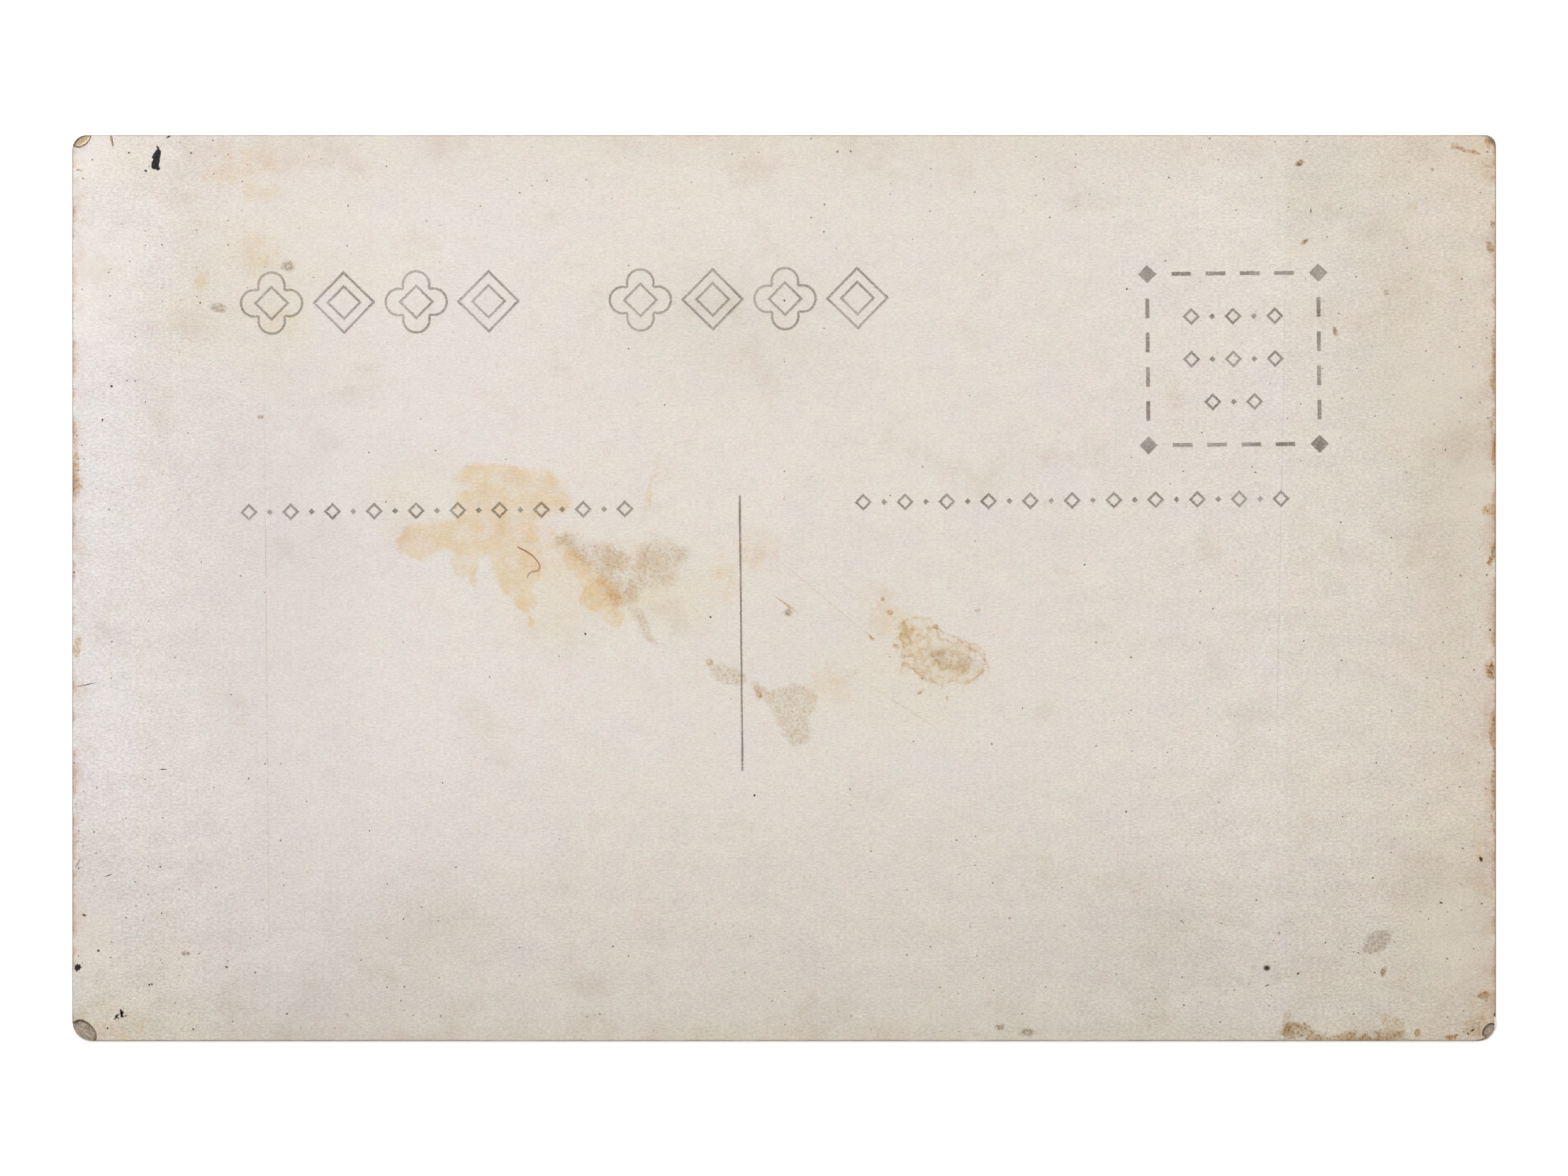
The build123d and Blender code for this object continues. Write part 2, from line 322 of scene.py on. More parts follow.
def apply_modifiers(piece):
    """Applies every modifier of a piece, in order."""
    select_only(piece)
    for modifier in list(piece.modifiers):
        bpy.ops.object.modifier_apply(modifier=modifier.name)


def clouds(name, size):
    """A cloud texture of a size in mm, for uneven edges and surfaces."""
    texture = bpy.data.textures.new(name, "CLOUDS")
    texture.noise_scale = size * MM
    texture.noise_depth = 2
    return texture


def displace(piece, texture, strength, mid_level, direction, group=""):
    """Adds a Displace modifier that reads its texture in the piece's own place. Strength is in mm."""
    modifier = piece.modifiers.new("displace", "DISPLACE")
    modifier.texture = texture
    modifier.texture_coords = "LOCAL"
    modifier.strength = strength * MM
    modifier.mid_level = mid_level
    modifier.direction = direction
    modifier.vertex_group = group


def group_points(piece, name, weigh):
    """A vertex group with a weight for each point, from its place in mm."""
    group = piece.vertex_groups.new(name=name)
    for vertex in piece.data.vertices:
        weight = weigh(vertex.co / MM)
        if weight > 0.001:
            group.add([vertex.index], weight, "REPLACE")


# Camera, lamps, floor


def studio():
    """A camera straight above the card, soft light from beyond its upper left, and a white floor."""
    scene = bpy.context.scene
    scene.view_settings.view_transform = "Standard"
    bpy.ops.object.select_all(action="DESELECT")
    bpy.ops.object.camera_add(location=(0, 0, CAMERA_HEIGHT), rotation=(0, 0, 0))
    camera = bpy.context.object
    camera.name = "photo_camera"
    camera.data.sensor_width = SENSOR
    camera.data.lens = SENSOR * (CAMERA_HEIGHT - sheet_top) / PHOTO_WIDTH
    camera.data.clip_start = 0.01
    scene.camera = camera

    bpy.ops.object.light_add(type="AREA", location=KEY_PLACE)
    key = bpy.context.object
    key.name = "soft_window"
    key.rotation_euler = KEY_PLACE.to_track_quat("Z", "Y").to_euler()
    key.data.shape = "RECTANGLE"
    key.data.size, key.data.size_y = KEY_SIZE
    key.data.energy = KEY_POWER
    key.visible_camera = False

    world = bpy.data.worlds.new("studio")
    scene.world = world
    world.use_nodes = True
    tree = world.node_tree
    tree.nodes.clear()
    path = add(tree, "LightPath")
    fill = add(tree, "Background", {"Color": linear("#f6f5f2"), "Strength": FILL_STRENGTH})
    seen = add(tree, "Background", {"Color": (1, 1, 1, 1), "Strength": 1.0})
    direct = calc(tree, "MAXIMUM", path.outputs["Is Camera Ray"], path.outputs["Is Glossy Ray"])
    shown = add(tree, "MixShader", {0: direct, 1: fill.outputs[0], 2: seen.outputs[0]})
    add(tree, "OutputWorld", {"Surface": shown.outputs[0]})

    bpy.ops.mesh.primitive_plane_add(size=FLOOR_SIZE, location=(0, 0, -FLOOR_DROP))
    floor = bpy.context.object
    floor.name = "floor"
    material = bpy.data.materials.new("white floor")
    material.use_nodes = True
    tree = material.node_tree
    tree.nodes.clear()
    # White card sweep: matt, lifted to full white where the camera sees it, so that only shadows are darker
    matt = add(tree, "BsdfDiffuse", {"Color": linear("#f2f2f0")})
    path = add(tree, "LightPath")
    lift = add(tree, "Emission", {"Color": (1, 1, 1, 1), "Strength": FLOOR_LIFT})
    both = add(tree, "AddShader", {0: matt.outputs[0], 1: lift.outputs[0]})
    shown = {0: path.outputs["Is Camera Ray"], 1: matt.outputs[0], 2: both.outputs[0]}
    shown = add(tree, "MixShader", shown)
    add(tree, "OutputMaterial", {"Surface": shown.outputs[0]})
    floor.data.materials.append(material)


# Materials: patterns in card millimetres


def noise(tree, place, size, detail, roughness=0.5, distortion=0.0, output="Fac"):
    """Noise of a size in mm over the flat of the card."""
    inputs = {"Vector": place, "Scale": 1 / size, "Detail": detail}
    inputs.update({"Roughness": roughness, "Distortion": distortion})
    return add(tree, "TexNoise", inputs, noise_dimensions="2D").outputs[output]


def remap(tree, value, start, end, low=0.0, high=1.0, kind="LINEAR"):
    """A value carried from one range to another and held inside it."""
    inputs = {"Value": value, "From Min": start, "From Max": end, "To Min": low, "To Max": high}
    return add(tree, "MapRange", inputs, interpolation_type=kind).outputs["Result"]


def ease(tree, value, start, end, low=0.0, high=1.0):
    """A value carried from one range to another, slowly at both ends."""
    return remap(tree, value, start, end, low, high, "SMOOTHSTEP")


def mix(tree, amount, first, second, blend="MIX"):
    """Two colours mixed by an amount, or the first one tinted with the second."""
    inputs = {0: amount, 6: first, 7: second}
    return add(tree, "Mix", inputs, data_type="RGBA", blend_type=blend).outputs[2]


def vector(tree, operation, *values):
    """One step of arithmetic with places or colours."""
    return add(tree, "VectorMath", dict(enumerate(values)), operation=operation).outputs[0]


def vector_length(tree, value):
    """How long a vector is."""
    return add(tree, "VectorMath", {0: value}, operation="LENGTH").outputs["Value"]


def millimetres(tree):
    """A place on the flat of the card, in mm."""
    return vector(tree, "MULTIPLY", add(tree, "TexCoord").outputs["Object"], (1 / MM, 1 / MM, 0))


def stray(tree, place, size, reach, detail):
    """A place pushed about by noise of a size, up to a reach, both in mm, for ragged outlines."""
    drift = noise(tree, place, size, detail, output="Color")
    back = vector(tree, "SUBTRACT", place, (reach, reach, 0))
    return vector(tree, "MULTIPLY_ADD", drift, (2 * reach, 2 * reach, 0), back)


def rim_distance(tree, place, marks, blend):
    """How far a place lies from the nearest mark: 0 in its middle, 1 at its rim. Close marks join."""
    nearest = None
    for x, y, half_long, half_wide, *turn in marks:
        if turn:
            frame_of_mark = {
                "Vector": place,
                "Location": (x, y, 0),
                "Rotation": (0, 0, math.radians(turn[0])),
                "Scale": (half_long, half_wide, 1),
            }
            unit = add(tree, "Mapping", frame_of_mark, vector_type="TEXTURE").outputs[0]
        else:
            back = (-x / half_long, -y / half_wide, 0)
            unit = vector(tree, "MULTIPLY_ADD", place, (1 / half_long, 1 / half_wide, 0), back)
        distance = vector_length(tree, unit)
        if nearest is not None:
            distance = calc(tree, "SMOOTH_MIN", nearest, distance, blend)
        nearest = distance
    return nearest


def ring(tree, distance, middle, half):
    """How far a place lies from a line of equal distance: 0 on the line, 1 where its width ends."""
    off = calc(tree, "ABSOLUTE", calc(tree, "SUBTRACT", distance, middle))
    return calc(tree, "DIVIDE", off, half)


def soak(tree, colour, distance, soft, tint, uneven=None, blend="MULTIPLY"):
    """Tints the paper inside the rim of a stain. The rim fades over a share of the stain's size."""
    amount = ease(tree, distance, 1 + soft, 1 - soft)
    if uneven is not None:
        amount = calc(tree, "MULTIPLY", amount, uneven)
    return mix(tree, amount, colour, linear(tint), blend)


def speckle(tree, colour, place, spacing, radius, share, tint):
    """Scatters specks up to a radius, at most one in each cell of a spacing, over a share of the cells."""
    cells = add(tree, "TexVoronoi", {"Vector": place, "Scale": 1 / spacing}, voronoi_dimensions="2D")
    chance = add(tree, "SeparateColor", {0: cells.outputs["Color"]})
    here = calc(tree, "LESS_THAN", chance.outputs[0], share)
    size = calc(tree, "MULTIPLY_ADD", chance.outputs[1], 0.75 * radius / spacing, 0.25 * radius / spacing)
    distance = calc(tree, "DIVIDE", cells.outputs["Distance"], size)
    return soak(tree, colour, distance, 0.4, tint, here)


def inward_depth(tree, place, corner):
    """How far in from the card's rounded outline a place lies, in mm."""
    middle = (half_length - corner, half_height - corner, 0)
    beyond = vector(tree, "SUBTRACT", vector(tree, "ABSOLUTE", place), middle)
    bent = vector_length(tree, vector(tree, "MAXIMUM", beyond, (0, 0, 0)))
    sides = add(tree, "SeparateXYZ", {0: beyond})
    straight = calc(tree, "MAXIMUM", sides.outputs[0], sides.outputs[1])
    reach = calc(tree, "ADD", bent, calc(tree, "MINIMUM", straight, 0.0))
    return calc(tree, "SUBTRACT", corner, reach)


def back_paper_group():
    """Colour and relief of the old back paper, with painted light and shade in its tone, shared by the sheet
    and the ink on it.
    """
    tree = bpy.data.node_groups.new("old back paper", "ShaderNodeTree")
    tree.interface.new_socket("Colour", in_out="OUTPUT", socket_type="NodeSocketColor")
    tree.interface.new_socket("Height", in_out="OUTPUT", socket_type="NodeSocketFloat")
    place = millimetres(tree)
    across = add(tree, "SeparateXYZ", {0: place})
    depth = inward_depth(tree, place, 1.6)

    # Grime that hands left, in soft clouds that are thicker towards the edges
    smut = noise(tree, place, 8, 5, 0.6)
    grime = calc(tree, "ADD", smut, ease(tree, depth, 9, 0.5, 0.0, 0.08))
    grime = ease(tree, grime, 0.56, 0.85)

    # Cloudy stock: broad and small unevenness of tone, by size in mm and depth
    tone = 0.967
    for size, amount in ((24, 0.03), (1.2, 0.035)):
        tone = calc(tree, "MULTIPLY_ADD", noise(tree, place, size, 2), amount, tone)

    # Felted fibre, longer along the card, and the tooth of the surface, brought out by dirt and handling
    lengthwise = vector(tree, "MULTIPLY", place, (0.55, 1, 1))
    web = ring(tree, noise(tree, lengthwise, 0.36, 2), 0.5, 0.1)
    web = ease(tree, web, 0, 1)
    felt = calc(tree, "MULTIPLY_ADD", web, 0.2, noise(tree, lengthwise, 0.2, 1))
    grain = calc(tree, "MULTIPLY_ADD", noise(tree, place, 0.13, 0), 0.8, felt)
    handled = 0.185
    for axis, start, end, more in ((0, -45, -68, 0.15), (0, 15, 60, 0.125), (1, -8, -38, 0.08)):
        toward = ease(tree, across.outputs[axis], start, end, 0.0, more)
        handled = calc(tree, "ADD", toward, handled)
    centred = calc(tree, "SUBTRACT", grain, 1.03)
    tone = calc(tree, "MULTIPLY_ADD", centred, handled, tone)
    smears = calc(tree, "SUBTRACT", noise(tree, lengthwise, 2.2, 4, 0.6), 0.5)
    soiled = remap(tree, handled, 0.14, 0.4, 0.04, 0.23)
    tone = calc(tree, "MULTIPLY_ADD", smears, soiled, tone)
    strands = vector(tree, "MULTIPLY", place, (0.14, 1, 1))
    strands = remap(tree, noise(tree, strands, 0.16, 2), 0.58, 0.78)
    tone = calc(tree, "MULTIPLY_ADD", strands, -0.08, tone)
    colour = add(tree, "VectorMath", {0: linear("#e1dbd9")[:3], 3: tone}, operation="SCALE").outputs[0]

    # Uneven ageing: patches that lean to pink or to green
    for size, amount in ((16, 0.03), (4, 0.045), (0.9, 0.05), (0.4, 0.04)):
        hue = noise(tree, place, size, 1, output="Color")
        lean = vector(tree, "MULTIPLY_ADD", hue, (amount,) * 3, (1 - amount / 2,) * 3)
        colour = vector(tree, "MULTIPLY", colour, lean)

    # Painted light and shade in the tone across the card, and its toning towards the right hand and lower
    # edges
    for axis, start, end, tint in (
        # painted light: lighter and cooler towards the left, as the light falls off to the right
        (0, -62, -6, "#fffef8"),
        # painted light: a paler strip along the left edge, where a bend would catch the light
        (0, -64.1, -63.3, "#fffefc"),
        (0, 48.9, 49.6, "#fdfcfa"),
        (0, 52, 70, "#fbf7f2"),
        # painted shade: darker towards the bottom, where the light falls off
        (1, -12, -46, "#f1f0ed"),
        (1, -41, -45, "#fbf8f4"),
        (1, 36, 46, "#fcf9f6"),
    ):
        toning_and_painted_light = ease(tree, across.outputs[axis], start, end)
        colour = mix(tree, toning_and_painted_light, colour, linear(tint), "MULTIPLY")

    thin = remap(tree, smut, 0.3, 0.65, 0.5)
    for marks, tint in ((CLOUDS, "#f7f6f4"), (WARM_PLACES, "#fefcf3")):
        colour = soak(tree, colour, rim_distance(tree, place, marks, 0.4), 0.85, tint, thin)
    # The places along the left edge are painted light, mixed towards a paler tone; the less soiled places
    # are mixed towards theirs
    for marks, tint in ((PAINTED_LIGHT_AT_LEFT, "#f1ebe4"), (LESS_SOILED, "#dfd6c8")):
        colour = soak(tree, colour, rim_distance(tree, place, marks, 0.4), 0.85, tint, 0.45, "MIX")
    colour = mix(tree, grime, colour, linear("#f4f2ee"), "MULTIPLY")

    # Stains soak in with a lobed and grainy rim, and unevenly where the felt is dense
    lobed = stray(tree, stray(tree, place, 3.0, 0.8, 2), 0.7, 0.3, 3)
    lobed = stray(tree, lobed, 0.24, 0.16, 2)
    mottle = noise(tree, place, 1.8, 6, 0.68)
    even = remap(tree, mottle, 0.36, 0.62, 0.42)
    patchy = remap(tree, mottle, 0.38, 0.6, 0.2)
    crumbly = stray(tree, place, 0.35, 0.11, 3)
    ragged = stray(tree, place, 0.3, 0.05, 2)
    grit = noise(tree, crumbly, 0.3, 4, 0.65)
    crumbs = remap(tree, grit, 0.46, 0.68)
    broken = remap(tree, grit, 0.38, 0.62, 0.25)
    for marks, *layers in (
        (FAINT_YELLOW, ("#fbf3e6", 0.6, patchy)),
        (YELLOW_STAIN, ("#fbebd0", 0.16, even)),
        (GREY_SMEAR, ("#f1e9e1", 0.45, patchy), ("#eae0d6", 0.4, crumbs)),
        (TAN_PATCH, ("#f5f0e7", 0.2, even), ("#e8dfd1", 0.2, crumbs)),
        (EDGE_RUST, ("#eddcc4", 0.5, patchy), ("#d8bf9e", 0.3, crumbs)),
        (BOTTOM_DIRT, ("#ddc8ac", 0.4, even), ("#c6af94", 0.35, crumbs)),
    ):
        distance = rim_distance(tree, lobed, marks, 0.3)
        for tint, soft, uneven in layers:
            colour = soak(tree, colour, distance, soft, tint, uneven)

    # Rust-coloured squiggles and a tide line in the stain that dried last
    vein = noise(tree, crumbly, 1.3, 3, distortion=0.3)
    vein = remap(tree, ring(tree, vein, 0.5, 0.1), 1.0, 0.0)
    vein = calc(tree, "MULTIPLY", vein, patchy)
    distance = rim_distance(tree, lobed, RUST_STAIN, 0.3)
    colour = soak(tree, colour, distance, 0.3, "#f8f2e8", patchy)
    colour = soak(tree, colour, distance, 0.25, "#f0e2cc", vein)
    colour = soak(tree, colour, ring(tree, distance, 0.95, 0.06), 0.5, "#eedfc8", patchy)

    # Strokes of rust, the scuffed oval, spots and specks, and a painted shadow along the right side of the
    # tear
    for marks, outline, blend, soft, tint, uneven in (
        (RUST_STROKES, crumbly, 0.1, 0.8, "#e6d0b2", broken),
        (SCUFF, crumbly, 0.3, 0.25, "#cfc6bf", broken),
        (RUST_SPOTS, crumbly, 0.1, 0.4, "#dcbd97", broken),
        (SMUDGES, crumbly, 0.1, 0.5, "#b3a48f", broken),
        (DARK_SPOTS_AND_TEAR_SHADOW, ragged, 0.1, 0.5, "#51463b", None),
    ):
        distance = rim_distance(tree, outline, marks, blend)
        colour = soak(tree, colour, distance, soft, tint, uneven)
    edgewise = ease(tree, depth, 14, 0, 0.012, 0.16)
    dusty = remap(tree, handled, 0.2, 0.4, 0.02, 0.36)
    for spacing, radius, share, tint in (
        (1.3, 0.09, edgewise, "#a1968a"),
        (1.7, 0.08, dusty, "#887c6f"),
        (4.2, 0.12, 0.025, "#6b6157"),
    ):
        colour = speckle(tree, colour, crumbly, spacing, radius, share, tint)
    colour = soak(tree, colour, rim_distance(tree, place, CREASES, 0.05), 0.4, "#ece8e2", patchy)

    # Painted shadow: a dark ragged ring under the lifted rims of the rubbed corners
    rubbed = ring(tree, rim_distance(tree, ragged, PATCHES, 0.1), 1.05, 0.08)
    colour = soak(tree, colour, rubbed, 0.7, "#7a6a5e")

    # Dirty edges: toned bands, then a dark line where the edge is rubbed, all broken along the edge
    worn = noise(tree, place, 2.2, 6, 0.65)
    from_end = calc(tree, "SUBTRACT", half_length, calc(tree, "ABSOLUTE", across.outputs[0]))
    for inside, reach, tint, low, high in (
        (from_end, 1.6, "#f0dccf", 0.42, 0.7),
        (from_end, 0.5, "#e3c3a8", 0.4, 0.66),
        (depth, 0.12, "#8d7361", 0.28, 0.58),
    ):
        near = remap(tree, inside, reach, 0.0)
        amount = calc(tree, "MULTIPLY", near, remap(tree, worn, low, high))
        colour = mix(tree, amount, colour, linear(tint), "MULTIPLY")

    out = tree.nodes.new("NodeGroupOutput")
    tree.links.new(colour, out.inputs["Colour"])
    tree.links.new(grain, out.inputs["Height"])
    return tree


def new_material(name, roughness, specular):
    """An empty node material and its Principled shader, already wired to the output."""
    material = bpy.data.materials.new(name)
    material.use_nodes = True
    tree = material.node_tree
    tree.nodes.clear()
    shader = add(tree, "BsdfPrincipled", {"Roughness": roughness, "Specular IOR Level": specular})
    add(tree, "OutputMaterial", {"Surface": shader.outputs[0]})
    return material, tree, shader


def dress(tree, shader, colour, height=None, strength=0.6, depth=0.02):
    """Gives a shader its colour and, where a height is given, a fine relief of a depth in mm."""
    tree.links.new(colour, shader.inputs["Base Color"])
    if height is not None:
        bump = add(tree, "Bump", {"Height": height, "Strength": strength, "Distance": depth * MM})
        tree.links.new(bump.outputs[0], shader.inputs["Normal"])


def back_paper_material(group):
    """Uncoated rag and wood paper, calendered, then handled for decades: matt and toothy, with no gloss."""
    material, tree, shader = new_material("aged uncoated paper", 0.9, 0.2)
    paper = add(tree, "Group", node_tree=group)
    dress(tree, shader, paper.outputs["Colour"], paper.outputs["Height"])
    return material


def ink_material(group, name, strength):
    """Letterpress ink, faded and rubbed: a thin matt grey film that the tooth of the paper breaks up."""
    material, tree, shader = new_material(name, 0.85, 0.25)
    paper = add(tree, "Group", node_tree=group)
    place = millimetres(tree)
    inked = add(tree, "Attribute", attribute_name="inked").outputs["Fac"]
    held = calc(tree, "MULTIPLY_ADD", noise(tree, place, 0.2, 2), 1.6, inked)
    weight = remap(tree, noise(tree, place, 4, 3), 0.3, 0.65, 0.7 * strength, strength)
    cover = calc(tree, "MULTIPLY", ease(tree, held, 0.7, 1.9), weight)
    mixed = mix(tree, cover, paper.outputs["Colour"], linear("#8f8883"), "MULTIPLY")
    dress(tree, shader, mixed, paper.outputs["Height"])
    return material


def core_material():
    """Grey-brown pasteboard, bare only at the rubbed corners and edges: ground-in dirt along its fibres."""
    material, tree, shader = new_material("grimy pasteboard", 0.95, 0.15)
    place = millimetres(tree)
    # Fibres and creases lie across each corner
    folded = stray(tree, vector(tree, "ABSOLUTE", place), 0.4, 0.05, 2)
    laid = {"Vector": folded, "Rotation": (0, 0, math.radians(-45)), "Scale": (0.6, 0.1, 1)}
    laid = add(tree, "Mapping", laid, vector_type="TEXTURE").outputs[0]
    fibres = calc(tree, "ADD", noise(tree, laid, 1, 4), noise(tree, place, 0.15, 3, 0.6))
    fibres = remap(tree, fibres, 0.8, 1.2)
    mixed = mix(tree, fibres, linear("#86786a"), linear("#b9ab99"))
    height = add(tree, "SeparateXYZ", {0: place}).outputs[1]
    upper = calc(tree, "MULTIPLY", remap(tree, height, -10, 30), remap(tree, fibres, 0, 1, 0.4))
    mixed = mix(tree, upper, mixed, linear("#ccb792"))
    # The cut edge itself is dark with dirt, in some stretches nearly black
    rim = remap(tree, inward_depth(tree, place, 1.7), 0.12, 0.02, 0.0, 0.8)
    soot = remap(tree, noise(tree, place, 1.6, 4, 0.6), 0.4, 0.62)
    soot = mix(tree, soot, linear("#8a6c59"), linear("#43342b"))
    dress(tree, shader, mix(tree, rim, mixed, soot), fibres, 0.8, 0.03)
    return material


def emulsion_material():
    """Gelatin emulsion, its silver image faded: warm brown tones inside a pale margin, with a soft gloss."""
    material, tree, shader = new_material("gelatin emulsion", 0.3, 0.5)
    place = millimetres(tree)
    height = add(tree, "SeparateXYZ", {0: place}).outputs[1]
    haze = noise(tree, place, 22, 5, 0.55)
    light = calc(tree, "ADD", remap(tree, height, -40, 40, 0.0, 0.6), haze)
    tones = mix(tree, remap(tree, light, 0.4, 1.1), linear("#4a3a2c"), linear("#d9c6a6"))
    margin = remap(tree, inward_depth(tree, place, 1.6), 4.2, 4.0)
    dress(tree, shader, mix(tree, margin, tones, linear("#e0d3ba")))
    return material


def two_tone_material(name, roughness, specular, size, detail, low, high, tones, reach=0.0):
    """A coat or a paper of two tones that change over by noise of a size in mm, strayed up to a reach."""
    material, tree, shader = new_material(name, roughness, specular)
    place = millimetres(tree)
    if reach:
        place = stray(tree, place, 0.3, reach, 2)
    share = remap(tree, noise(tree, place, size, detail), low, high)
    dress(tree, shader, mix(tree, share, linear(tones[0]), linear(tones[1])))
    return material


def split_paper_material(name, *tones):
    """Paper torn in its thickness: soft, fluffy rag and wood fibre, matt, with dirt in its folds."""
    return two_tone_material(name, 0.95, 0.15, 0.2, 4, 0.42, 0.66, tones, 0.06)


def hair_material():
    """Animal hair: red-brown, a little glossy, paler towards its fine end."""
    material, tree, shader = new_material("red-brown hair", 0.45, 0.5)
    height = add(tree, "SeparateXYZ", {0: millimetres(tree)}).outputs[1]
    fine = remap(tree, height, 3.5, 0.8)
    dress(tree, shader, mix(tree, fine, linear("#94491c"), linear("#bd8757")))
    return material


# Pieces


def cut(piece, tools, operation):
    """Cuts a piece with closed tools, one after the other, and removes them."""
    for tool in tools:
        boolean = piece.modifiers.new("cut", "BOOLEAN")
        boolean.operation = operation
        boolean.object = tool
        boolean.solver = "EXACT"
        apply_modifiers(piece)
        bpy.data.objects.remove(tool)


def outline_cutter():
    """A slab with the card's worn outline: round corners, and edges rubbed a little short and uneven."""
    bpy.ops.object.select_all(action="DESELECT")
    size = (2 * half_length * MM, 2 * half_height * MM, SLAB_HEIGHT * MM)
    bpy.ops.mesh.primitive_cube_add(size=1, location=(0, 0, sheet_top), scale=size)
    cutter = bpy.context.object
    bpy.ops.object.transform_apply()
    for side_x, side_y, radius in CORNERS:

        def at_corner(edge):
            ends = [cutter.data.vertices[index].co for index in edge.vertices]
            return all(end.x * side_x > 0 and end.y * side_y > 0 for end in ends) and ends[0].z != ends[1].z

        edit(cutter, "EDGE", at_corner)
        bpy.ops.mesh.bevel(offset=radius * MM, segments=CORNER_SEGMENTS, affect="EDGES")
        leave_edit()

    edit(cutter, "EDGE", longer_than(cutter, LONG_EDGE))
    bpy.ops.mesh.subdivide(number_cuts=EDGE_CUTS)
    leave_edit()
    for name, size in EDGE_WEAR_SIZES.items():
        displace(cutter, clouds(name, size), EDGE_WEAR, 1.0, "NORMAL")
    apply_modifiers(cutter)
    # Both faces are made flat again, so that the cuts come out clean
    for side in (-1, 1):
        edit(cutter, "VERT", lambda vertex: (vertex.co.z - sheet_top) * side > 0)
        face = sheet_top + side * SLAB_HEIGHT / 2 * MM
        bpy.ops.transform.resize(value=(1, 1, 0), center_override=(0, 0, face))
        leave_edit()
    return cutter


def wear_cutters():
    """Ragged ovals at the rubbed corners and a wedge at the tear, to cut the sheet with."""
    tools = []
    for x, y, half_long, half_wide, turn in PATCHES:
        bpy.ops.mesh.primitive_cylinder_add(
            vertices=RIM_SIDES,
            radius=1,
            depth=1,
            location=(x * MM, y * MM, sheet_top),
            rotation=(0, 0, math.radians(turn)),
            scale=(half_long * MM, half_wide * MM, CUTTER_HEIGHT * MM),
        )
        bpy.ops.object.transform_apply()
        oval = bpy.context.object
        for direction, size, depth in RIM_WEAR:
            displace(oval, clouds("rubbed rim", size), depth, 0.5, direction)
        apply_modifiers(oval)
        tools.append(oval)
    bpy.ops.mesh.primitive_circle_add(vertices=len(TEAR), radius=MM, fill_type="NGON")
    tear = bpy.context.object
    for vertex, (x, y) in zip(tear.data.vertices, TEAR):
        vertex.co = (x * MM, y * MM, sheet_top - CUTTER_HEIGHT / 2 * MM)
    edit(tear, "FACE", lambda face: True)
    bpy.ops.mesh.extrude_region_move(TRANSFORM_OT_translate={"value": (0, 0, CUTTER_HEIGHT * MM)})
    bpy.ops.mesh.select_all(action="SELECT")
    bpy.ops.mesh.normals_make_consistent(inside=False)
    leave_edit()
    return [*tools, tear]


def on_top(place):
    """1 for a point on the upper face of the sheet or of the ink, else 0."""
    return 1.0 if place.z * MM > sheet_top - 0.001 * MM else 0.0


def lip(place):
    """How far a point is lifted with the split paper at a rubbed corner, from 0 to 1."""
    lift = 0.0
    for x, y, half_long, half_wide, turn in PATCHES:
        across = Vector((place.x - x, place.y - y))
        angle = math.radians(turn)
        along = across.x * math.cos(angle) + across.y * math.sin(angle)
        aside = across.y * math.cos(angle) - across.x * math.sin(angle)
        beyond = (math.hypot(along / half_long, aside / half_wide) - 1) * half_wide
        lift = max(lift, math.exp(-max(beyond, 0) / LIP_REACH))
    return lift if lift > 0.02 else 0.0


def back_sheet():
    """The back ply as worn paper: slightly uneven face, rubbed edges, split corners and a short tear."""
    bpy.ops.object.select_all(action="DESELECT")
    bpy.ops.mesh.primitive_grid_add(
        x_subdivisions=round(2 * half_length / SHEET_CELL),
        y_subdivisions=round(2 * half_height / SHEET_CELL),
        size=1,
        location=(0, 0, sheet_top),
    )
    sheet = bpy.context.object
    sheet.name = "back_sheet"
    sheet.scale = (2 * SHEET_SPARE * half_length * MM, 2 * SHEET_SPARE * half_height * MM, 1)
    bpy.ops.object.transform_apply()

    def near_corner(face):
        from_end = half_length - abs(face.center.x) / MM
        from_side = half_height - abs(face.center.y) / MM
        return from_end < CORNER_ZONE and from_side < CORNER_ZONE

    edit(sheet, "FACE", near_corner)
    bpy.ops.mesh.subdivide(number_cuts=CORNER_CUTS)
    leave_edit()
    thicken = sheet.modifiers.new("thickness", "SOLIDIFY")
    thicken.thickness = sheet_thickness
    thicken.offset = -1
    apply_modifiers(sheet)
    outline = outline_cutter()
    cut(outline, wear_cutters(), "DIFFERENCE")
    cut(sheet, [outline], "INTERSECT")
    group_points(sheet, "upper_face", on_top)
    group_points(sheet, "lips", lip)
    displace(sheet, clouds("formation", RELIEF_SIZE), RELIEF, 0.5, "Z", "upper_face")
    displace(sheet, None, LIP_LIFT, 0.0, "Z", "lips")
    apply_modifiers(sheet)
    bpy.ops.object.shade_smooth_by_angle(angle=math.radians(30))
    return sheet


